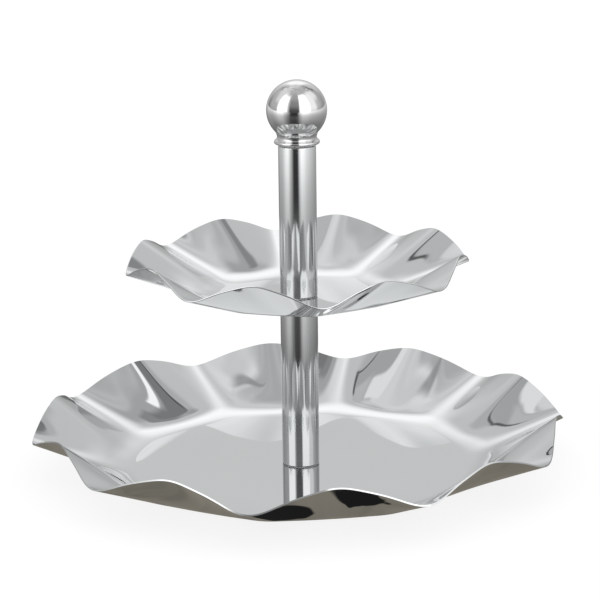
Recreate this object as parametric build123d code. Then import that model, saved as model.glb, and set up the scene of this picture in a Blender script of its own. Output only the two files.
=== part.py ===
from build123d import *
import os
from math import cos, pi, sin, sqrt

# Two-tier cake stand in polished stainless steel, in millimetres.
# +Z is up, z = 0 is the surface that the lower tray stands on, and the tube's axis is x = y = 0.
# +X runs through one of the low points of both rims.

# ---- Driving dimensions ----

# sheet metal trays: radii and heights of the rim's low and high points
SHEET = 1.0
LOWER_SCALLOPS = 10
LOWER_FLOOR_RADIUS = 112.0
LOWER_LOW_POINT_RADIUS = 180.0
LOWER_HIGH_POINT_RADIUS = 171.6
LOWER_LOW_POINT_RISE = 24.9
LOWER_HIGH_POINT_RISE = 39.1
UPPER_SCALLOPS = 8
UPPER_FLOOR_RADIUS = 48.5
UPPER_LOW_POINT_RADIUS = 114.6
UPPER_HIGH_POINT_RADIUS = 109.0
UPPER_LOW_POINT_RISE = 20.8
UPPER_HIGH_POINT_RISE = 33.4
SCALLOP_SHARPNESS = 0.11
SCALLOP_LEAN = 0.06
FOLD_SHARE = 0.30
POINTS_PER_SCALLOP = 12
WALL_RUNS = (0.0, 0.1, 0.2, 0.3, 0.5, 0.75, 1.0)

# tubes and their plugs
TUBE_RADIUS = 12.5
TUBE_WALL = 1.0
TUBE_END_CHAMFER = 0.4
LOWER_TUBE_LENGTH = 115.2
UPPER_TUBE_LENGTH = 101.3
PLUG_LENGTH = 12.0
CLEAR_WASHER_THICKNESS = 0.5
CLEAR_WASHER_INSET = 0.2

# M6 fasteners
THREAD_RADIUS = 3.0
THREAD_CLEARANCE = 0.05
HOLE_CLEARANCE = 0.3
JOINING_STUD_GRIP = 10.0
JOINING_STUD_ROOT = 11.0
FINIAL_STUD_GRIP = 8.0
BASE_SCREW_LENGTH = 16.0
SCREW_HEAD_RADIUS = 5.25
SCREW_HEAD_HEIGHT = 3.3
SCREW_SOCKET_WIDTH = 4.0
SCREW_SOCKET_DEPTH = 2.0
WASHER_RADIUS = 6.0
WASHER_THICKNESS = 1.6
SPRING_WASHER_RADIUS = 5.9
SPRING_WASHER_SPLIT = 0.8

# recess pressed into the lower tray for the screw head
TABLE_CLEARANCE = 0.5
RECESS_WASHER_MARGIN = 0.5
RECESS_TUBE_CLEARANCE = 0.6
RECESS_WALL = 0.9
CLAMP_GAP = 0.3

# finial
BALL_RADIUS = 20.0
BALL_WALL = 0.8
BALL_SINK = 2.6
BALL_SEAT_CLEARANCE = 0.05
BUSH_RADIUS = 6.0
BUSH_LENGTH = 8.0
COLLAR_BEAD_RADIUS = 15.1
COLLAR_BEAD_HEIGHT = 4.5
COLLAR_BEAD_RIDGE = 2.3
COLLAR_NECK_RADIUS = 13.6
COLLAR_FOOT_RADIUS = 12.7

# ---- Heights worked out from them ----

TUBE_BORE_RADIUS = TUBE_RADIUS - TUBE_WALL
THREADED_HOLE_RADIUS = THREAD_RADIUS + THREAD_CLEARANCE
PASSING_HOLE_RADIUS = THREAD_RADIUS + HOLE_CLEARANCE

SCREW_HEAD_TOP = TABLE_CLEARANCE + SCREW_HEAD_HEIGHT
SPRING_WASHER_TOP = SCREW_HEAD_TOP + WASHER_THICKNESS
RECESS_DEPTH = SPRING_WASHER_TOP + WASHER_THICKNESS
RECESS_TOP = RECESS_DEPTH + SHEET

LOWER_TUBE_FOOT = SHEET + CLEAR_WASHER_THICKNESS
LOWER_TUBE_HEAD = LOWER_TUBE_FOOT + LOWER_TUBE_LENGTH
UPPER_TRAY_FLOOR = LOWER_TUBE_HEAD + SHEET
UPPER_TUBE_FOOT = UPPER_TRAY_FLOOR + CLEAR_WASHER_THICKNESS
UPPER_TUBE_HEAD = UPPER_TUBE_FOOT + UPPER_TUBE_LENGTH
COLLAR_FOOT = UPPER_TUBE_HEAD + CLEAR_WASHER_THICKNESS
BALL_CENTRE = COLLAR_FOOT + BALL_SINK + BALL_RADIUS
BALL_INNER_RADIUS = BALL_RADIUS - BALL_WALL
BUSH_FOOT = BALL_CENTRE - sqrt(BALL_INNER_RADIUS**2 - BUSH_RADIUS**2)


# ---- Small builders ----

def turned(*edges):
    """A solid of revolution about Z from profile edges drawn as (radius, height)."""
    return revolve(Plane.XZ * make_face(edges), axis=Axis.Z)


def ring(inner_radius, outer_radius, foot, head):
    """A plain round ring or tube between two heights."""
    outer = Cylinder(outer_radius, head - foot, align=(Align.CENTER, Align.CENTER, Align.MIN))
    bore = Cylinder(inner_radius, head - foot, align=(Align.CENTER, Align.CENTER, Align.MIN))
    return Pos(0, 0, foot) * (outer - bore)


def rod(radius, foot, head):
    """A plain round rod between two heights."""
    return Pos(0, 0, foot) * Cylinder(radius, head - foot, align=(Align.CENTER, Align.CENTER, Align.MIN))


# ---- Trays ----

def soft_ramp(run):
    """0 at the floor's edge, 1 at the rim: a smooth fold, then a straight wall."""
    if run <= 0:
        return 0.0
    if run < FOLD_SHARE:
        climb = run**2 / (2 * FOLD_SHARE)
    else:
        climb = run - FOLD_SHARE / 2
    return climb / (1 - FOLD_SHARE / 2)


def scallop_share(scallops, turn):
    """0 at a low point of the rim and 1 at a high point, with rounder highs than lows."""
    phase = scallops * turn + pi
    wave = cos(phase) - SCALLOP_SHARPNESS * cos(2 * phase) + SCALLOP_LEAN * cos(3 * phase)
    return (wave + 1 + SCALLOP_SHARPNESS + SCALLOP_LEAN) / (2 + 2 * SCALLOP_LEAN)


class Tray:
    """The shape of one scalloped tray, with its floor's underside at height 0."""

    def __init__(self, scallops, floor_radius, low_radius, high_radius, low_rise, high_rise):
        self.scallops = scallops
        self.floor_radius = floor_radius
        self.mean_radius = (low_radius + high_radius) / 2
        self.mean_rise = (low_rise + high_rise) / 2
        self.radius_swing = high_radius - low_radius
        self.rise_swing = high_rise - low_rise

    def upper_surface(self, run, turn):
        """The point of the upper surface a share of the way out along the wall."""
        climb = soft_ramp(run)
        swing = (scallop_share(self.scallops, turn) - 0.5) * climb
        radius = self.floor_radius + (self.mean_radius - self.floor_radius) * run
        radius = radius + self.radius_swing * swing
        height = SHEET + (self.mean_rise - SHEET) * climb + self.rise_swing * swing
        return Vector(radius * cos(turn), radius * sin(turn), height)

    def surface(self, run, turn, depth):
        """The point at a depth below the upper surface, square to the sheet."""
        step = 1e-4
        outwards = self.upper_surface(run + step, turn) - self.upper_surface(run - step, turn)
        around = self.upper_surface(run, turn + step) - self.upper_surface(run, turn - step)
        return self.upper_surface(run, turn) - outwards.cross(around).normalized() * depth

    def scallop_edge(self, run, depth):
        """One scallop's edge, from low point to low point, at one run and one depth."""
        step = 2 * pi / self.scallops / POINTS_PER_SCALLOP
        turns = [step * number for number in range(POINTS_PER_SCALLOP + 1)]
        points = [self.surface(run, turn, depth) for turn in turns]
        ends = [Vector(-sin(turn), cos(turn), 0) for turn in (turns[0], turns[-1])]
        return Edge.make_spline(points, tangents=ends)

    def scallop_wall(self, depth):
        """One scallop's wall face at one depth, with its floor edge and its rim edge."""
        edges = [self.scallop_edge(run, depth) for run in WALL_RUNS]
        wall = Shell.make_loft([Wire([edge]) for edge in edges]).faces()[0]
        borders = wall.edges().sort_by(lambda edge: (edge @ 0.5).X ** 2 + (edge @ 0.5).Y ** 2)
        return wall, borders[0], borders[-1]

    def blank(self):
        """The pressed sheet before its centre is pierced: one scallop, repeated and sewn."""
        upper_wall, upper_floor, upper_rim = self.scallop_wall(0.0)
        lower_wall, lower_floor, lower_rim = self.scallop_wall(SHEET)
        rim_strip = Face.make_surface_from_curves(upper_rim, lower_rim)
        turns = [Rot(0, 0, 360 * index / self.scallops) for index in range(self.scallops)]
        faces = [turn * face for turn in turns for face in (upper_wall, lower_wall, rim_strip)]
        for floor in (upper_floor, lower_floor):
            faces.append(Face(Wire([turn * floor for turn in turns])))
        return Solid(Shell(faces))


def lower_tray():
    """The large tray, with a pressed recess that keeps the screw head off the table."""
    shape = Tray(LOWER_SCALLOPS, LOWER_FLOOR_RADIUS, LOWER_LOW_POINT_RADIUS,
                 LOWER_HIGH_POINT_RADIUS, LOWER_LOW_POINT_RISE, LOWER_HIGH_POINT_RISE)
    ceiling = WASHER_RADIUS + RECESS_WASHER_MARGIN
    mouth = TUBE_BORE_RADIUS - RECESS_TUBE_CLEARANCE - RECESS_WALL
    cut = rod(TUBE_RADIUS, -SHEET, 2 * SHEET)
    recess = turned(Polyline(
        (PASSING_HOLE_RADIUS, RECESS_DEPTH), (ceiling, RECESS_DEPTH), (mouth, 0), (TUBE_RADIUS, 0),
        (TUBE_RADIUS, SHEET), (mouth + RECESS_WALL, SHEET),
        (ceiling + RECESS_WALL, RECESS_TOP), (PASSING_HOLE_RADIUS, RECESS_TOP), close=True,
    ))
    return shape.blank() - cut + recess


def upper_tray():
    """The small tray, pierced for the joining stud."""
    shape = Tray(UPPER_SCALLOPS, UPPER_FLOOR_RADIUS, UPPER_LOW_POINT_RADIUS,
                 UPPER_HIGH_POINT_RADIUS, UPPER_LOW_POINT_RISE, UPPER_HIGH_POINT_RISE)
    return Pos(0, 0, LOWER_TUBE_HEAD) * (shape.blank() - rod(PASSING_HOLE_RADIUS, -SHEET, 2 * SHEET))


# ---- Column ----

def tube(foot, head):
    """A tube with its two outer end edges broken."""
    body = ring(TUBE_BORE_RADIUS, TUBE_RADIUS, foot, head)
    ends = body.edges().filter_by(GeomType.CIRCLE).filter_by(lambda edge: edge.radius > TUBE_BORE_RADIUS)
    return chamfer(ends, TUBE_END_CHAMFER)


def plug(foot):
    """A threaded plug pressed into the end of a tube."""
    return ring(THREADED_HOLE_RADIUS, TUBE_BORE_RADIUS, foot, foot + PLUG_LENGTH)


def clear_washer(foot):
    """A thin clear washer that keeps a tube's end from marking the polish."""
    inner = TUBE_BORE_RADIUS - CLEAR_WASHER_INSET
    return ring(inner, TUBE_RADIUS - CLEAR_WASHER_INSET, foot, foot + CLEAR_WASHER_THICKNESS)


def base_screw():
    """A button-head screw with a hexagon socket, driven from below."""
    dome_radius = (SCREW_HEAD_RADIUS**2 + SCREW_HEAD_HEIGHT**2) / (2 * SCREW_HEAD_HEIGHT)
    dome = Pos(0, 0, TABLE_CLEARANCE + dome_radius) * Sphere(dome_radius)
    head = dome & rod(SCREW_HEAD_RADIUS, 0, SCREW_HEAD_TOP)
    flat = RegularPolygon(SCREW_SOCKET_WIDTH / 2, 6, major_radius=False)
    socket = extrude(Pos(0, 0, TABLE_CLEARANCE) * flat, SCREW_SOCKET_DEPTH)
    return head + rod(THREAD_RADIUS, SCREW_HEAD_TOP, SCREW_HEAD_TOP + BASE_SCREW_LENGTH) - socket


def base_spring_washer():
    """A split ring under the screw head."""
    whole = ring(THREADED_HOLE_RADIUS, SPRING_WASHER_RADIUS, SCREW_HEAD_TOP, SPRING_WASHER_TOP)
    split = Box(SPRING_WASHER_RADIUS, SPRING_WASHER_SPLIT, WASHER_THICKNESS * 2)
    return whole - Pos(SPRING_WASHER_RADIUS, 0, SPRING_WASHER_TOP) * split


def base_washer():
    """A plain washer against the recess's ceiling."""
    return ring(PASSING_HOLE_RADIUS, WASHER_RADIUS, SPRING_WASHER_TOP, RECESS_DEPTH)


# ---- Finial ----

def finial_collar():
    """A turned collar: a bead above the tube, a neck, and a hollow seat for the ball."""
    ridge = COLLAR_FOOT + COLLAR_BEAD_RIDGE
    bead_top = COLLAR_FOOT + COLLAR_BEAD_HEIGHT
    neck_top = COLLAR_FOOT + BALL_SINK + BALL_RADIUS
    profile = [
        Line((PASSING_HOLE_RADIUS, COLLAR_FOOT), (COLLAR_FOOT_RADIUS, COLLAR_FOOT)),
        Spline((COLLAR_FOOT_RADIUS, COLLAR_FOOT), (COLLAR_BEAD_RADIUS, ridge),
               (COLLAR_NECK_RADIUS, bead_top), tangents=((1, 0.25), (-0.15, 1))),
        Line((COLLAR_NECK_RADIUS, bead_top), (COLLAR_NECK_RADIUS, neck_top)),
        Line((COLLAR_NECK_RADIUS, neck_top), (PASSING_HOLE_RADIUS, neck_top)),
        Line((PASSING_HOLE_RADIUS, neck_top), (PASSING_HOLE_RADIUS, COLLAR_FOOT)),
    ]
    seat = Pos(0, 0, BALL_CENTRE) * Sphere(BALL_RADIUS + BALL_SEAT_CLEARANCE)
    return turned(*profile) - seat


def finial_ball():
    """A hollow ball with a hole below for the stud."""
    shell = Pos(0, 0, BALL_CENTRE) * (Sphere(BALL_RADIUS) - Sphere(BALL_INNER_RADIUS))
    return shell - rod(PASSING_HOLE_RADIUS, COLLAR_FOOT, BALL_CENTRE)


PIECES = {
    "lower_tray": lower_tray(),
    "lower_tube_washer": clear_washer(SHEET),
    "lower_tube": tube(LOWER_TUBE_FOOT, LOWER_TUBE_HEAD),
    "lower_tube_base_plug": plug(RECESS_TOP + CLAMP_GAP),
    "lower_tube_top_plug": plug(LOWER_TUBE_HEAD - PLUG_LENGTH),
    "joining_stud": rod(THREAD_RADIUS, LOWER_TUBE_HEAD - JOINING_STUD_ROOT,
                        UPPER_TUBE_FOOT + JOINING_STUD_GRIP),
    "base_screw": base_screw(),
    "base_spring_washer": base_spring_washer(),
    "base_washer": base_washer(),
    "upper_tray": upper_tray(),
    "upper_tube_washer": clear_washer(UPPER_TRAY_FLOOR),
    "upper_tube": tube(UPPER_TUBE_FOOT, UPPER_TUBE_HEAD),
    "upper_tube_base_plug": plug(UPPER_TUBE_FOOT),
    "upper_tube_top_plug": plug(UPPER_TUBE_HEAD - PLUG_LENGTH),
    "finial_washer": clear_washer(UPPER_TUBE_HEAD),
    "finial_stud": rod(THREAD_RADIUS, UPPER_TUBE_HEAD - FINIAL_STUD_GRIP, BUSH_FOOT + BUSH_LENGTH),
    "finial_collar": finial_collar(),
    "finial_ball": finial_ball(),
    "finial_ball_bush": ring(THREADED_HOLE_RADIUS, BUSH_RADIUS, BUSH_FOOT, BUSH_FOOT + BUSH_LENGTH),
}

os.makedirs("parts", exist_ok=True)
for name, piece in PIECES.items():
    piece.label = name
    export_step(piece, f"parts/{name}.step")
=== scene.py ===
from math import atan2, cos, hypot, pi, radians, sin, sqrt

import bmesh
import bpy
from mathutils import Matrix, Quaternion, Vector


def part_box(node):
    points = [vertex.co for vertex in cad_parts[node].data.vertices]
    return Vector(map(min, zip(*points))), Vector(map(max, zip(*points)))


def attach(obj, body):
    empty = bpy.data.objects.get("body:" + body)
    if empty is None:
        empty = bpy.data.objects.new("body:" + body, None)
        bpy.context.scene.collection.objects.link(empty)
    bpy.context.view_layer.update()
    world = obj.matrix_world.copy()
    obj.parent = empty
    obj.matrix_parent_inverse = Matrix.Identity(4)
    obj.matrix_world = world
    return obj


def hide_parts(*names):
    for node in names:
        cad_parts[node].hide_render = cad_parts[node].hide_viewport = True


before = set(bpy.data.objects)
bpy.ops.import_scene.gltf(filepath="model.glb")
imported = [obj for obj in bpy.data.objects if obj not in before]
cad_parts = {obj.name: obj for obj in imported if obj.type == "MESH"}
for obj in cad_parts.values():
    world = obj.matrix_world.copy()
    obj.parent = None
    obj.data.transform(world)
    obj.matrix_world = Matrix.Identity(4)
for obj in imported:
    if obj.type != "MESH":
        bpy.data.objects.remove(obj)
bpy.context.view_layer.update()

# Looks for a two-tier cake stand: polished sheet trays with ruffled rims, polished tubes and a ball finial.
# Sizes are in metres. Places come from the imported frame, and the shape values below match the part's own.

MM = 0.001

# sheet trays
SHEET = 1.0 * MM
FOLD_SHARE = 0.30
SCALLOP_SHARPNESS = 0.11
SCALLOP_LEAN = 0.06
STEPS_PER_SCALLOP = 40
WALL_RINGS = 44
RIM_ROUNDING = 0.42 * MM
RIM_ROUNDING_STEPS = 3
FLOOR_RING_SHARE = 0.7          # one plain ring of faces part of the way across the floor
STUD_HOLE_RADIUS = 3.3 * MM
RECESS_TOP_RADIUS = 7.0 * MM
RECESS_SHOULDER_RADIUS = 7.4 * MM
RECESS_FOOT_RADIUS = 10.7 * MM
RECESS_MOUTH_RADIUS = 11.1 * MM
RECESS_BEND = 0.3 * MM
UPPER_CENTRE_RADIUS = 11.0 * MM

# turned pieces
ROUND_STEPS = 192
TUBE_WALL = 1.0 * MM
TUBE_END_ROUNDING = 0.8 * MM
BALL_WALL = 0.8 * MM
BALL_ARC_STEPS = 72
BALL_SEAT_GAP = 0.05 * MM
COLLAR_BEAD_HEIGHT = 4.2 * MM
COLLAR_BEAD_RIDGE = 1.7 * MM
COLLAR_WAIST_RADIUS = 13.1 * MM
COLLAR_NECK_RADIUS = 13.9 * MM
COLLAR_FOOT_RADIUS = 12.7 * MM
COLLAR_TIP_RADIUS = 1.3 * MM
COLLAR_TIP_SWEEP = 62           # degrees each side of the bead's ridge
COLLAR_WAIST_RISE = 0.5 * MM
COLLAR_LIP = 0.3 * MM
COLLAR_STEPS = 8

# M6 by 1 threads
THREAD_PITCH = 1.0 * MM
THREAD_DEPTH = 0.55 * MM
THREAD_STEPS = 40
THREAD_FLAT_SHARE = 0.12        # flat at the root and at the crest, as a share of the pitch


# ---- Mesh helpers ----

def spun(points, steps=ROUND_STEPS, closed=True):
    """A bmesh turned about Z from a profile of (radius, height) points."""
    mesh = bmesh.new()
    corners = [mesh.verts.new((radius, 0, height)) for radius, height in points]
    pairs = list(zip(corners, corners[1:]))
    if closed:
        pairs.append((corners[-1], corners[0]))
    edges = [mesh.edges.new(pair) for pair in pairs]
    bmesh.ops.spin(mesh, geom=corners + edges, cent=(0, 0, 0), axis=(0, 0, 1), dvec=(0, 0, 0),
                   angle=2 * pi, steps=steps, use_merge=True, use_duplicate=False)
    bmesh.ops.remove_doubles(mesh, verts=mesh.verts[:], dist=1e-7)
    bmesh.ops.recalc_face_normals(mesh, faces=mesh.faces[:])
    return mesh


def finished(mesh, name, body, slot, material, *nodes, sharp_angle=35):
    """Makes the piece, lets it ride on its body and stand for its CAD nodes."""
    data = bpy.data.meshes.new(name)
    mesh.to_mesh(data)
    mesh.free()
    data.shade_smooth()
    data.set_sharp_from_angle(angle=radians(sharp_angle))
    data.materials.append(material)
    piece = bpy.data.objects.new(name, data)
    bpy.context.scene.collection.objects.link(piece)
    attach(piece, body)
    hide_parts(*nodes)
    return piece


def arc(centre_radius, centre_height, radius, start, end, steps):
    """Points along a circular arc in the profile plane, angles in degrees from +radius."""
    points = []
    for number in range(steps + 1):
        angle = radians(start + (end - start) * number / steps)
        points.append((centre_radius + radius * cos(angle), centre_height + radius * sin(angle)))
    return points


# ---- Node helpers ----

def new_group(name, inputs, outputs):
    """An empty shader node group with named sockets: {name: (kind, default)} and {name: kind}."""
    group = bpy.data.node_groups.new(name, "ShaderNodeTree")
    for label, (kind, value) in inputs.items():
        socket = group.interface.new_socket(label, in_out="INPUT", socket_type="NodeSocket" + kind)
        if value is not None:
            socket.default_value = value
    for label, kind in outputs.items():
        group.interface.new_socket(label, in_out="OUTPUT", socket_type="NodeSocket" + kind)
    return group, group.nodes.new("NodeGroupInput"), group.nodes.new("NodeGroupOutput")


def node(tree, kind, settings=None, **links):
    """Adds a node, sets its properties, and fills its inputs by name with sockets or values."""
    made = tree.nodes.new("ShaderNode" + kind)
    for key, value in (settings or {}).items():
        setattr(made, key, value)
    for label, value in links.items():
        numbered = label[0] == "i" and label[1:].isdigit()
        socket = made.inputs[int(label[1:]) if numbered else label.replace("_", " ")]
        if isinstance(value, bpy.types.NodeSocket):
            tree.links.new(value, socket)
        else:
            socket.default_value = value
    return made


def maths(tree, operation, first, second=0.0, third=0.0):
    """A Math node's result."""
    return node(tree, "Math", {"operation": operation}, i0=first, i1=second, i2=third).outputs[0]


def smooth_step(tree, value, low, high, start=0.0, end=1.0):
    """A smooth change from start to end while a value goes from low to high."""
    settings = {"interpolation_type": "SMOOTHSTEP"}
    return node(tree, "MapRange", settings, i0=value, i1=low, i2=high, i3=start, i4=end).outputs[0]


def ramp(tree, factor, stops):
    """A colour ramp over a factor: stops are (position, grey value) or (position, (r, g, b))."""
    made = node(tree, "ValToRGB", None, Fac=factor)
    elements = made.color_ramp.elements
    while len(elements) < len(stops):
        elements.new(0.5)
    for element, (position, value) in zip(elements, stops):
        element.position = position
        colour = value if isinstance(value, tuple) else (value, value, value)
        element.color = (*colour, 1.0)
    return made.outputs["Color"]


# ---- Shared surface effects ----

def hairline_group():
    """Very fine scratches: thin bright lines along one direction, broken up by a patchy mask."""
    group, entry, leave = new_group(
        "hairline_scratches",
        {"Vector": ("Vector", None), "Stretch": ("Vector", (900.0, 900.0, 9.0)), "Amount": ("Float", 0.5)},
        {"Mask": "Float"},
    )
    stretched = node(group, "VectorMath", {"operation": "MULTIPLY"}, i0=entry.outputs["Vector"],
                     i1=entry.outputs["Stretch"])
    lines = node(group, "TexNoise", None, Vector=stretched.outputs[0], Scale=1.0, Detail=3.0, Roughness=0.6)
    patches = node(group, "TexNoise", None, Vector=entry.outputs["Vector"], Scale=55.0, Detail=2.0, Roughness=0.5)
    thin = smooth_step(group, lines.outputs[0], 0.52, 0.72)
    patchy = smooth_step(group, patches.outputs[0], 0.35, 0.7)
    joined = maths(group, "MULTIPLY", thin, patchy)
    group.links.new(maths(group, "MULTIPLY", joined, entry.outputs["Amount"]), leave.inputs["Mask"])
    return group


def ripple_group():
    """The slow waviness that pressing and buffing leave in a polished surface."""
    group, entry, leave = new_group(
        "polish_ripple",
        {"Vector": ("Vector", None), "Scale": ("Float", 22.0), "Strength": ("Float", 0.05)},
        {"Normal": "Vector"},
    )
    broad = node(group, "TexNoise", None, Vector=entry.outputs["Vector"], Scale=entry.outputs["Scale"], Detail=1.0,
                 Roughness=0.4)
    bump = node(group, "Bump", None, Strength=entry.outputs["Strength"], Distance=0.001, Height=broad.outputs[0])
    group.links.new(bump.outputs[0], leave.inputs["Normal"])
    return group


HAIRLINES = hairline_group()
RIPPLE = ripple_group()


def placed(tree, group, **values):
    """Places a shared effect in a material with its own values."""
    made = tree.nodes.new("ShaderNodeGroup")
    made.node_tree = group
    for label, value in values.items():
        socket = made.inputs[label]
        if isinstance(value, bpy.types.NodeSocket):
            tree.links.new(value, socket)
        else:
            socket.default_value = value
    return made


def new_material(name):
    material = bpy.data.materials.new(name)
    material.use_nodes = True
    tree = material.node_tree
    return material, tree, tree.nodes["Principled BSDF"]


def polished_steel(name, tint, roughness, ripple_scale, ripple, stretch, scratches):
    """Mirror-polished stainless steel with slight ripple, hairlines and roughness that varies."""
    material, tree, shader = new_material(name)
    place = node(tree, "TexCoord").outputs["Object"]
    hairs = placed(tree, HAIRLINES, Vector=place, Stretch=stretch, Amount=1.0).outputs["Mask"]
    haze = node(tree, "TexNoise", None, Vector=place, Scale=14.0, Detail=3.0, Roughness=0.55).outputs[0]
    hazy = node(tree, "MapRange", None, i0=haze, i1=0.3, i2=0.7, i3=roughness * 0.75, i4=roughness * 1.35).outputs[0]
    rough = maths(tree, "MULTIPLY_ADD", hairs, scratches, hazy)
    tree.links.new(rough, shader.inputs["Roughness"])
    darker = tuple(channel * 0.965 for channel in tint)
    colour = node(tree, "Mix", {"data_type": "RGBA"}, i0=haze)
    colour.inputs[6].default_value = (*tint, 1.0)
    colour.inputs[7].default_value = (*darker, 1.0)
    tree.links.new(colour.outputs[2], shader.inputs["Base Color"])
    normal = placed(tree, RIPPLE, Vector=place, Scale=ripple_scale, Strength=ripple).outputs["Normal"]
    tree.links.new(normal, shader.inputs["Normal"])
    shader.inputs["Metallic"].default_value = 1.0
    return material


def plain_steel(name, tint, roughness, grain):
    """Turned or rolled steel with visible fine tool marks."""
    material, tree, shader = new_material(name)
    place = node(tree, "TexCoord").outputs["Object"]
    marks = placed(tree, HAIRLINES, Vector=place, Stretch=grain, Amount=1.0).outputs["Mask"]
    tree.links.new(maths(tree, "MULTIPLY_ADD", marks, 0.22, roughness), shader.inputs["Roughness"])
    tone = node(tree, "TexNoise", None, Vector=place, Scale=160.0, Detail=4.0).outputs[0]
    darker = tuple(channel * 0.78 for channel in tint)
    tree.links.new(ramp(tree, tone, [(0.35, darker), (0.65, tint)]), shader.inputs["Base Color"])
    bump = node(tree, "Bump", None, Strength=0.15, Distance=0.0002, Height=marks)
    tree.links.new(bump.outputs[0], shader.inputs["Normal"])
    shader.inputs["Metallic"].default_value = 1.0
    return material


def clear_plastic(name):
    """Thin clear washer plastic with a faint haze."""
    material, tree, shader = new_material(name)
    place = node(tree, "TexCoord").outputs["Object"]
    haze = node(tree, "TexNoise", None, Vector=place, Scale=240.0, Detail=3.0).outputs[0]
    tree.links.new(ramp(tree, haze, [(0.3, 0.10), (0.7, 0.24)]), shader.inputs["Roughness"])
    tint = ramp(tree, haze, [(0.3, (0.90, 0.91, 0.91)), (0.7, (0.96, 0.97, 0.97))])
    tree.links.new(tint, shader.inputs["Base Color"])
    shader.inputs["Alpha"].default_value = 0.35
    shader.inputs["IOR"].default_value = 1.49
    return material


SHEET_POLISH = polished_steel("sheet_polish", (0.592, 0.602, 0.607), 0.03, 9.0, 0.03, (300.0, 700.0, 300.0), 0.03)
TUBE_POLISH = polished_steel("tube_polish", (0.595, 0.602, 0.605), 0.09, 14.0, 0.02, (1500.0, 1500.0, 5.0), 0.12)
FINIAL_POLISH = polished_steel("finial_polish", (0.62, 0.62, 0.62), 0.06, 30.0, 0.03, (260.0, 260.0, 1100.0), 0.09)
TURNED_STEEL = plain_steel("turned_steel", (0.52, 0.52, 0.51), 0.28, (260.0, 260.0, 3000.0))
THREAD_STEEL = plain_steel("thread_steel", (0.62, 0.63, 0.64), 0.22, (900.0, 900.0, 900.0))
CLEAR_WASHER = clear_plastic("clear_washer_plastic")


# ---- Trays ----

def soft_ramp(run):
    """0 at the floor's edge, 1 at the rim: a smooth fold, then a straight wall."""
    if run <= 0:
        return 0.0
    if run < FOLD_SHARE:
        climb = run**2 / (2 * FOLD_SHARE)
    else:
        climb = run - FOLD_SHARE / 2
    return climb / (1 - FOLD_SHARE / 2)


def scallop_share(scallops, turn):
    """0 at a low point of the rim and 1 at a high point, with rounder highs than lows."""
    phase = scallops * turn + pi
    wave = cos(phase) - SCALLOP_SHARPNESS * cos(2 * phase) + SCALLOP_LEAN * cos(3 * phase)
    return (wave + 1 + SCALLOP_SHARPNESS + SCALLOP_LEAN) / (2 + 2 * SCALLOP_LEAN)


class Tray:
    """One tray's upper surface: a flat floor, a fold, and a wall whose waves grow towards the rim."""

    def __init__(self, node_name, scallops, floor_radius, low_radius, high_radius, low_rise, high_rise):
        self.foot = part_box(node_name)[0].z
        self.scallops = scallops
        self.floor_radius = floor_radius * MM
        self.mean_radius = (low_radius + high_radius) / 2 * MM
        self.mean_rise = (low_rise + high_rise) / 2 * MM
        self.radius_swing = (high_radius - low_radius) * MM
        self.rise_swing = (high_rise - low_rise) * MM

    def ruffle(self, corner):
        """Moves a corner of the plain spun dish to its place on the ruffled wall."""
        radius = hypot(corner.x, corner.y)
        run = (radius - self.floor_radius) / (self.mean_radius - self.floor_radius)
        if run <= 0:
            return
        turn = atan2(corner.y, corner.x)
        climb = soft_ramp(run)
        swing = (scallop_share(self.scallops, turn) - 0.5) * climb
        radius += self.radius_swing * swing
        height = SHEET + (self.mean_rise - SHEET) * climb + self.rise_swing * swing
        corner.xyz = (radius * cos(turn), radius * sin(turn), self.foot + height)

    def sheet(self, centre):
        """The upper surface as one open skin: centre profile, floor, then the ruffled wall."""
        points = list(centre)
        wall = self.mean_radius - self.floor_radius
        level = self.foot + SHEET
        points.append((self.floor_radius * FLOOR_RING_SHARE, level))
        points += [(self.floor_radius + wall * ring / WALL_RINGS, level) for ring in range(WALL_RINGS + 1)]
        mesh = spun(points, STEPS_PER_SCALLOP * self.scallops, closed=False)
        for corner in mesh.verts:
            self.ruffle(corner.co)
        if mesh.faces[0].normal.z < 0:
            bmesh.ops.reverse_faces(mesh, faces=mesh.faces[:])
        return mesh


def sheet_thickness(piece):
    """Gives the skin the sheet's thickness below it, and breaks the rim's edges."""
    wall = piece.modifiers.new("sheet", "SOLIDIFY")
    wall.thickness = SHEET
    wall.offset = -1.0
    wall.use_even_offset = True
    edge = piece.modifiers.new("rim_rounding", "BEVEL")
    edge.width = RIM_ROUNDING
    edge.segments = RIM_ROUNDING_STEPS
    edge.limit_method = "ANGLE"
    edge.angle_limit = radians(50)
    edge.harden_normals = True


def lower_tray():
    """The large tray, with the pressed recess that hides the screw head."""
    tray = Tray("lower_tray", 10, 112.0, 180.0, 171.6, 24.9, 39.1)
    recess_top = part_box("base_washer")[1].z + SHEET
    centre = [(STUD_HOLE_RADIUS, recess_top), (RECESS_TOP_RADIUS, recess_top),
              (RECESS_SHOULDER_RADIUS, recess_top - RECESS_BEND), (RECESS_FOOT_RADIUS, SHEET + RECESS_BEND),
              (RECESS_MOUTH_RADIUS, SHEET)]
    piece = finished(tray.sheet(centre), "large_tray", "lower_tier", "polished_sheet", SHEET_POLISH, "lower_tray")
    sheet_thickness(piece)


def upper_tray():
    """The small tray, pierced for the stud."""
    tray = Tray("upper_tray", 8, 48.5, 114.6, 109.0, 20.8, 33.4)
    centre = [(STUD_HOLE_RADIUS, tray.foot + SHEET), (UPPER_CENTRE_RADIUS, tray.foot + SHEET)]
    piece = finished(tray.sheet(centre), "small_tray", "upper_tray", "polished_sheet", SHEET_POLISH, "upper_tray")
    sheet_thickness(piece)


# ---- Column ----

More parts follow.
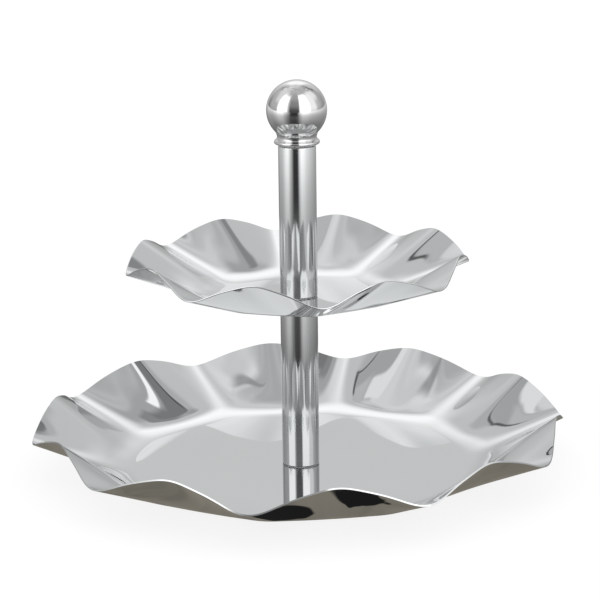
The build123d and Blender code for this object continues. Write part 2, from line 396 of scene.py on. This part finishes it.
def tube(name, node_name, body):
    """A tube with rounded end edges."""
    low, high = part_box(node_name)
    outer = high.x
    bore = outer - TUBE_WALL
    soft = TUBE_END_ROUNDING
    points = [(bore, low.z)]
    points += arc(outer - soft, low.z + soft, soft, -90, 0, 6)
    points += arc(outer - soft, high.z - soft, soft, 0, 90, 6)
    points.append((bore, high.z))
    finished(spun(points), name, body, "polished_tube", TUBE_POLISH, node_name)


# ---- Finial ----

def finial_ball():
    """A hollow ball, open below where the stud enters."""
    low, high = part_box("finial_ball")
    outer = high.x
    centre = high.z - outer
    inner = outer - BALL_WALL
    points = []
    for radius, first, last in ((outer, -1, 1), (inner, 1, -1)):
        start = -90 + (180 / pi) * (STUD_HOLE_RADIUS / radius)
        ends = {-1: start, 1: 90}
        points += arc(0, centre, radius, ends[first], ends[last], BALL_ARC_STEPS)
    finished(spun(points), "ball", "finial", "polished_finial", FINIAL_POLISH, "finial_ball")


def finial_collar():
    """The turned collar: a rounded bead over the tube, a short neck, and a seat for the ball."""
    low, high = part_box("finial_collar")
    ball_low, ball_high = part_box("finial_ball")
    ball_radius = ball_high.x
    ball_centre = ball_high.z - ball_radius
    seat = ball_radius + BALL_SEAT_GAP
    bead_radius = high.x
    ridge = low.z + COLLAR_BEAD_RIDGE
    bead_top = low.z + COLLAR_BEAD_HEIGHT
    neck_seat = ball_centre - sqrt(seat**2 - COLLAR_NECK_RADIUS**2)
    points = [(STUD_HOLE_RADIUS, low.z), (COLLAR_FOOT_RADIUS, low.z)]
    points.append((COLLAR_FOOT_RADIUS + 0.7 * MM, low.z + 0.2 * MM))
    points += arc(bead_radius - COLLAR_TIP_RADIUS, ridge, COLLAR_TIP_RADIUS, -COLLAR_TIP_SWEEP, COLLAR_TIP_SWEEP, 14)
    waist = bead_top + COLLAR_WAIST_RISE
    points.append((COLLAR_WAIST_RADIUS + 0.35 * MM, bead_top - 0.35 * MM))
    points.append((COLLAR_WAIST_RADIUS + 0.08 * MM, bead_top))
    lip = neck_seat - COLLAR_LIP
    for number in range(COLLAR_STEPS + 1):
        share = number / COLLAR_STEPS
        points.append((COLLAR_WAIST_RADIUS + (COLLAR_NECK_RADIUS - COLLAR_WAIST_RADIUS) * share**2,
                       waist + (lip - waist) * share))
    points.append((COLLAR_NECK_RADIUS - 0.15 * MM, neck_seat))
    cup = COLLAR_NECK_RADIUS - COLLAR_LIP
    for number in range(COLLAR_STEPS + 1):
        radius = cup + (STUD_HOLE_RADIUS - cup) * number / COLLAR_STEPS
        points.append((radius, ball_centre - sqrt(seat**2 - radius**2)))
    finished(spun(points), "collar", "finial", "polished_finial", FINIAL_POLISH, "finial_collar")


# ---- Threads ----

def threaded_rod(radius, foot, head):
    """A screw thread from foot to head: one turn's profile carried up a helix and cut level."""
    mesh = bmesh.new()
    root = radius - THREAD_DEPTH
    flat = THREAD_PITCH * THREAD_FLAT_SHARE
    start = foot - 1.5 * THREAD_PITCH
    turns = int((head - start) / THREAD_PITCH) + 2
    profile = [(root, 0.0), (root, flat), (radius, 0.5 * THREAD_PITCH), (radius, 0.5 * THREAD_PITCH + flat),
               (root, THREAD_PITCH)]
    corners = [mesh.verts.new((across, 0, start + along)) for across, along in profile]
    edges = [mesh.edges.new(pair) for pair in zip(corners, corners[1:])]
    rise = THREAD_PITCH / THREAD_STEPS
    bmesh.ops.spin(mesh, geom=corners + edges, cent=(0, 0, 0), axis=(0, 0, 1), dvec=(0, 0, rise),
                   angle=2 * pi * turns, steps=THREAD_STEPS * turns, use_merge=False, use_duplicate=False)
    bmesh.ops.remove_doubles(mesh, verts=mesh.verts[:], dist=2e-6)
    for level, keep_above in ((foot, True), (head, False)):
        cut = bmesh.ops.bisect_plane(mesh, geom=mesh.verts[:] + mesh.edges[:] + mesh.faces[:], dist=1e-8,
                                     plane_co=(0, 0, level), plane_no=(0, 0, -1 if keep_above else 1),
                                     clear_outer=True, clear_inner=False)
        rim = [item for item in cut["geom_cut"] if isinstance(item, bmesh.types.BMEdge)]
        bmesh.ops.edgeloop_fill(mesh, edges=rim)
    bmesh.ops.recalc_face_normals(mesh, faces=mesh.faces[:])
    return mesh


def stud(name, node_name, body):
    low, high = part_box(node_name)
    finished(threaded_rod(high.x, low.z, high.z), name, body, "zinc_steel", THREAD_STEEL, node_name, sharp_angle=25)


# ---- Build ----

lower_tray()
upper_tray()
tube("lower_post", "lower_tube", "lower_tier")
tube("upper_post", "upper_tube", "upper_column")
finial_ball()
finial_collar()
stud("joining_thread", "joining_stud", "lower_tier")
stud("finial_thread", "finial_stud", "finial")

NODE_FINISHES = {
    TURNED_STEEL: ("lower_tube_base_plug", "lower_tube_top_plug", "upper_tube_base_plug", "upper_tube_top_plug",
                   "finial_ball_bush"),
    THREAD_STEEL: ("base_screw", "base_washer", "base_spring_washer"),
    CLEAR_WASHER: ("lower_tube_washer", "upper_tube_washer", "finial_washer"),
}
for finish, names in NODE_FINISHES.items():
    for name in names:
        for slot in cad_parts[name].material_slots:
            slot.material = finish


# ---- Camera ----

CAMERA_TURN = radians(-7.53)
CAMERA_DISTANCE = 1.6056
CAMERA_HEIGHT = 0.5164
CAMERA_AIM = Vector((0.0007, 0.0, 0.1144))
CAMERA_ROLL = -0.0125
CAMERA_LENS = 148.93

camera_data = bpy.data.cameras.new("camera")
camera_data.lens = CAMERA_LENS
camera_data.sensor_width = 36.0
camera = bpy.data.objects.new("camera", camera_data)
camera.location = (sin(CAMERA_TURN) * CAMERA_DISTANCE, -cos(CAMERA_TURN) * CAMERA_DISTANCE, CAMERA_HEIGHT)
camera.rotation_mode = "QUATERNION"
look = (CAMERA_AIM - camera.location).to_track_quat("-Z", "Y")
camera.rotation_quaternion = look @ Quaternion((0, 0, 1), CAMERA_ROLL)
bpy.context.scene.collection.objects.link(camera)
bpy.context.scene.camera = camera


# ---- Studio ----

def bearing_of(tree, vector):
    """Degrees round the stand from the front, with the right positive, and the vector's height."""
    parts = node(tree, "SeparateXYZ", None, Vector=vector)
    angle = maths(tree, "ARCTAN2", parts.outputs[0], maths(tree, "MULTIPLY", parts.outputs[1], -1.0))
    degrees = maths(tree, "MULTIPLY_ADD", angle, 180 / pi, -CAMERA_TURN * 180 / pi)
    return maths(tree, "WRAP", degrees, 180.0, -180.0), parts.outputs[2]


def panel_group():
    """A soft-edged panel of one brightness, laid over the light behind it. All angles are in degrees."""
    group, entry, leave = new_group(
        "studio_panel",
        {"Bearing": ("Float", 0.0), "Elevation": ("Float", 0.0), "Behind": ("Float", 0.0), "Level": ("Float", 1.0),
         "Left": ("Float", -10.0), "Right": ("Float", 10.0), "Bottom": ("Float", 0.0), "Top": ("Float", 10.0),
         "Side": ("Float", 1.0), "End": ("Float", 1.0)},
        {"Light": "Float"},
    )
    mask = None
    for value, low, high, softness in (("Bearing", "Left", "Right", "Side"), ("Elevation", "Bottom", "Top", "End")):
        soft = entry.outputs[softness]
        below = maths(group, "MULTIPLY", soft, -1.0)
        for first, second in ((value, low), (high, value)):
            inside = maths(group, "SUBTRACT", entry.outputs[first], entry.outputs[second])
            fade = smooth_step(group, inside, below, soft)
            mask = fade if mask is None else maths(group, "MULTIPLY", mask, fade)
    change = maths(group, "SUBTRACT", entry.outputs["Level"], entry.outputs["Behind"])
    group.links.new(maths(group, "MULTIPLY_ADD", change, mask, entry.outputs["Behind"]), leave.inputs["Light"])
    return group


# level, left, right, bottom, top, side softness, end softness; later rows lie over earlier ones
SIDE_PANELS = (
    (0.92, -124, -60, -20, 70, 12, 8),      # left wall, dimmer at its foot
    (0.58, -124, -72, -20, 24, 8, 8),
    (0.78, 60, 116, -20, 60, 10, 8),        # right wall, dimmer at its foot
    (0.62, 90, 118, -20, 24, 10, 8),
    (0.55, -150, -104, -20, 40, 12, 14),    # left wing beside the backdrop
    (0.50, 106, 150, -20, 40, 8, 12),       # right wing
    (1.10, 60, 112, 30, 62, 10, 9),         # upper part of the right window
    (1.75, -80, -36, -20, 57, 5, 9),        # left window
    (1.20, 50, 84, -20, 60, 7, 7),          # outer part of the right window
    (1.80, 11, 56, -20, 65, 3, 5),          # right window
    (0.46, -28, 10, -20, 70, 5, 9),         # the unlit front of the room, darker towards its foot
    (0.30, -27, 9, -20, 44, 4, 12),
    (0.10, -28, 9, -20, 17, 4, 12),
    (0.34, -141, -122, -20, 18, 4, 7),      # dark ends of the wings
    (0.42, 118, 141, -20, 18, 4, 7),
    (0.50, 104, 158, 54, 67, 8, 2),         # ceiling, right then left
    (0.62, 104, 160, 67, 90, 8, 4),
    (0.88, -168, -98, 60, 84, 8, 2),
    (0.45, -147, -126, 75, 96, 5, 4),
    (0.72, 139, 161, 20, 54, 2, 5),         # returns of the backdrop
    (0.72, -162, -144, 18, 60, 2, 3),
    (0.33, 133, 143, 50, 60, 1.5, 2),       # right lamp head and its lit face
    (0.26, 124, 134.3, 38, 57, 1.2, 2),
    (0.10, 133.2, 134.5, 39, 48, 0.4, 3),
    (1.30, 118, 124, 57, 62, 0.8, 0.8),
    (0.50, -143.5, -126, 41, 62, 1.5, 2),     # left lamp head and its lit face
    (0.64, -143.5, -134, 49.5, 62, 1.5, 2),
    (0.13, -144.7, -143.2, 40, 54, 0.5, 2.0),
    (0.16, -144.5, -138, 39.8, 41, 1, 0.4),
    (1.00, -133, -120, 51, 61, 1.2, 1.0),
)
# elevation in degrees, brightness of the backdrop behind the stand
BACKDROP = ((0, 0.50), (10, 0.58), (16, 0.67), (20, 0.74), (26, 0.93), (34, 1.20), (42, 1.36), (50, 1.34),
            (56, 1.18), (61, 0.98), (64, 0.84), (90, 0.66))
BACKDROP_EDGE = 158.0       # bearing of its edge from the front, either side
ROOM_LEVEL = 1.17
UNLIT_ROOM = 0.60


def studio_sky():
    """White to the eye. Reflections see a backdrop, two large windows of light and a plain room round them."""
    world = bpy.data.worlds.new("studio")
    world.use_nodes = True
    bpy.context.scene.world = world
    tree = world.node_tree
    tree.nodes.clear()
    bearing, height = bearing_of(tree, node(tree, "TexCoord").outputs["Generated"])
    elevation = maths(tree, "MULTIPLY", maths(tree, "ARCSINE", height), 180 / pi)
    light = UNLIT_ROOM
    for level, left, right, bottom, top, side, end in SIDE_PANELS:
        light = placed(tree, STUDIO_PANEL, Bearing=bearing, Elevation=elevation, Behind=light, Level=level,
                       Left=left, Right=right, Bottom=bottom, Top=top, Side=side, End=end).outputs["Light"]
    backdrop = ramp(tree, maths(tree, "DIVIDE", elevation, 90.0),
                    [(degrees / 90, level / 2) for degrees, level in BACKDROP])
    backdrop = maths(tree, "MULTIPLY", backdrop, 2.0)
    cloth = node(tree, "TexNoise", None, Vector=node(tree, "TexCoord").outputs["Generated"], Scale=5.0, Detail=1.0,
                 Roughness=0.5, Distortion=0.6).outputs[0]
    overhead = smooth_step(tree, elevation, 63.0, 70.0)
    patches = node(tree, "MapRange", None, i0=cloth, i1=0.35, i2=0.65, i3=0.91, i4=1.08).outputs[0]
    shading = maths(tree, "MULTIPLY_ADD", maths(tree, "SUBTRACT", patches, 1.0), overhead, 1.0)
    light = placed(tree, STUDIO_PANEL, Bearing=maths(tree, "ABSOLUTE", bearing), Elevation=elevation, Behind=light,
                   Level=backdrop, Left=BACKDROP_EDGE, Right=200.0, Bottom=-30.0, Top=96.0, Side=8.0,
                   End=6.0).outputs["Light"]
    foot = smooth_step(tree, elevation, 0.0, 12.0, 0.85, 1.0)
    light = maths(tree, "MULTIPLY", maths(tree, "MULTIPLY", light, foot), ROOM_LEVEL)
    seen = node(tree, "LightPath")
    plain = node(tree, "Background", None, Color=(1.0, 1.0, 1.0, 1.0), Strength=1.0)
    light = maths(tree, "MULTIPLY", light, shading)
    mirrored = node(tree, "Background", None, Color=(1.0, 1.0, 1.0, 1.0), Strength=light)
    choice = node(tree, "MixShader", None, i0=seen.outputs["Is Glossy Ray"], i1=plain.outputs[0],
                  i2=mirrored.outputs[0])
    out = node(tree, "OutputWorld")
    tree.links.new(choice.outputs[0], out.inputs["Surface"])


# bearing from the front in degrees, brightness of the table top 0.7 m away, as a reflection sees it
TABLE_TOP = ((-180, 0.14), (-164, 0.20), (-150, 0.30), (-130, 0.45), (-104, 0.47), (-88, 0.60),
             (-72, 0.80), (-56, 0.80), (-44, 0.50), (-34, 0.30), (-24, 0.12), (-5, 0.10),
             (5, 0.17), (12, 0.50), (24, 0.85), (40, 0.80), (56, 0.65), (72, 0.58),
             (88, 0.52), (110, 0.45), (130, 0.38), (150, 0.35), (164, 0.22), (180, 0.14))
# distance from the stand in metres, share of that brightness: the table is dimmer near the stand
TABLE_FADE = ((0.22, 0.45), (0.32, 0.60), (0.50, 0.85), (0.70, 1.0), (1.0, 1.2), (1.7, 1.65), (3.2, 2.1), (5.0, 2.3))
# colours of the shaded table under the stand, by noise value
UNDER_STAND = [(0.35, (0.165, 0.155, 0.132)), (0.50, (0.235, 0.217, 0.182)), (0.68, (0.280, 0.256, 0.212))]
# dark shadow patches under the front of the stand: centre x, y and half widths in metres
SHADOWS = ((0.020, -0.141, 0.013, 0.008), (-0.028, -0.129, 0.020, 0.007))


FLOOR_HALF_WIDTH = 20.0
FLOOR_DROP = 0.1 * MM       # keeps the floor's face off the tray's own underside
SHADOW_COLOUR = (0.015, 0.015, 0.015, 1.0)
SHADE_REACH = (0.17, 0.24)  # the table is in the stand's shade up to here, in metres from the tube
FLOOR_GLOW = 0.86
FLOOR_SHADE = 0.17          # the part of the floor's brightness that shadows can take away


def studio_floor():
    """A plain pale floor. Reflections see it shaded under the stand and lit from both sides."""
    mesh = bmesh.new()
    bmesh.ops.create_grid(mesh, x_segments=1, y_segments=1, size=FLOOR_HALF_WIDTH)
    data = bpy.data.meshes.new("floor")
    mesh.to_mesh(data)
    mesh.free()
    data.transform(Matrix.Translation((0.0, 0.0, -FLOOR_DROP)))
    floor = bpy.data.objects.new("floor", data)
    bpy.context.scene.collection.objects.link(floor)
    material, tree, shader = new_material("pale_floor")
    tree.nodes.remove(shader)
    place = node(tree, "TexCoord").outputs["Object"]
    bearing, height = bearing_of(tree, place)
    share = maths(tree, "MULTIPLY_ADD", bearing, 1 / 360, 0.5)
    lit = ramp(tree, share, [(degrees / 360 + 0.5, level / 2) for degrees, level in TABLE_TOP])
    distance = node(tree, "VectorMath", {"operation": "LENGTH"}, i0=place).outputs["Value"]
    fade = ramp(tree, maths(tree, "DIVIDE", distance, 5.0), [(away / 5, level / 4) for away, level in TABLE_FADE])
    lit = node(tree, "VectorMath", {"operation": "MULTIPLY"}, i0=lit, i1=fade).outputs[0]
    lit = node(tree, "VectorMath", {"operation": "SCALE"}, i0=lit, Scale=8.0).outputs[0]
    lit = placed(tree, STUDIO_PANEL, Bearing=bearing, Elevation=distance, Behind=lit, Level=0.05, Left=-24.0,
                 Right=5.0, Bottom=0.95, Top=40.0, Side=6.0, End=0.25).outputs["Light"]
    lit = placed(tree, STUDIO_PANEL, Bearing=maths(tree, "ABSOLUTE", bearing), Elevation=distance, Behind=lit,
                 Level=1.1, Left=142.0, Right=200.0, Bottom=-1.0, Top=0.31, Side=6.0, End=0.03).outputs["Light"]
    wander = node(tree, "TexNoise", None, Vector=place, Scale=34.0, Detail=2.0, Roughness=0.5, Distortion=0.8)
    wander = wander.outputs[0]
    # painted shade under the stand: a noise varies how dark it is between the shaded colours of UNDER_STAND
    under_stand_shade_noise = node(tree, "TexNoise", None, Vector=place, Scale=18.0, Detail=3.0, Roughness=0.55, Distortion=1.0)
    shade = ramp(tree, under_stand_shade_noise.outputs[0], UNDER_STAND)
    dark = None
    for x, y, half_x, half_y in SHADOWS:
        offset = node(tree, "VectorMath", {"operation": "SUBTRACT"}, i0=place, i1=(x, y, 0.0))
        scaled = node(tree, "VectorMath", {"operation": "MULTIPLY"}, i0=offset.outputs[0],
                      i1=(1 / half_x, 1 / half_y, 0.0))
        reach = node(tree, "VectorMath", {"operation": "LENGTH"}, i0=scaled.outputs[0]).outputs["Value"]
        reach = maths(tree, "MULTIPLY_ADD", maths(tree, "SUBTRACT", wander, 0.5), 2.0, reach)
        patch = smooth_step(tree, reach, 1.08, 0.95)
        dark = patch if dark is None else maths(tree, "MAXIMUM", dark, patch)
    shadowed = node(tree, "Mix", {"data_type": "RGBA"}, i0=dark)
    tree.links.new(shade, shadowed.inputs[6])
    shadowed.inputs[7].default_value = SHADOW_COLOUR
    shade = shadowed.outputs[2]
    away = smooth_step(tree, distance, *SHADE_REACH)
    seen_in_steel = node(tree, "Mix", {"data_type": "RGBA"}, i0=away)
    tree.links.new(shade, seen_in_steel.inputs[6])
    tree.links.new(lit, seen_in_steel.inputs[7])
    seen = node(tree, "LightPath")
    mirrored = node(tree, "Emission", None, Color=seen_in_steel.outputs[2], Strength=1.0)
    pale = node(tree, "BsdfDiffuse", None, Color=(0.9, 0.9, 0.9, 1.0))
    glow = node(tree, "Emission", None, Color=(1.0, 1.0, 1.0, 1.0), Strength=FLOOR_GLOW)
    dim = node(tree, "BsdfDiffuse", None, Color=(FLOOR_SHADE, FLOOR_SHADE, FLOOR_SHADE, 1.0))
    shown = node(tree, "AddShader", None, i0=glow.outputs[0], i1=dim.outputs[0])
    bounce = node(tree, "MixShader", None, i0=seen.outputs["Is Glossy Ray"], i1=pale.outputs[0],
                  i2=mirrored.outputs[0])
    choice = node(tree, "MixShader", None, i0=seen.outputs["Is Camera Ray"], i1=bounce.outputs[0],
                  i2=shown.outputs[0])
    from_below = node(tree, "NewGeometry").outputs["Backfacing"]
    open_below = node(tree, "MixShader", None, i0=from_below, i1=choice.outputs[0],
                      i2=node(tree, "BsdfTransparent").outputs[0])
    tree.links.new(open_below.outputs[0], tree.nodes["Material Output"].inputs["Surface"])
    data.materials.append(material)


STUDIO_PANEL = panel_group()
studio_sky()
studio_floor()
bpy.context.scene.view_settings.view_transform = "Standard"
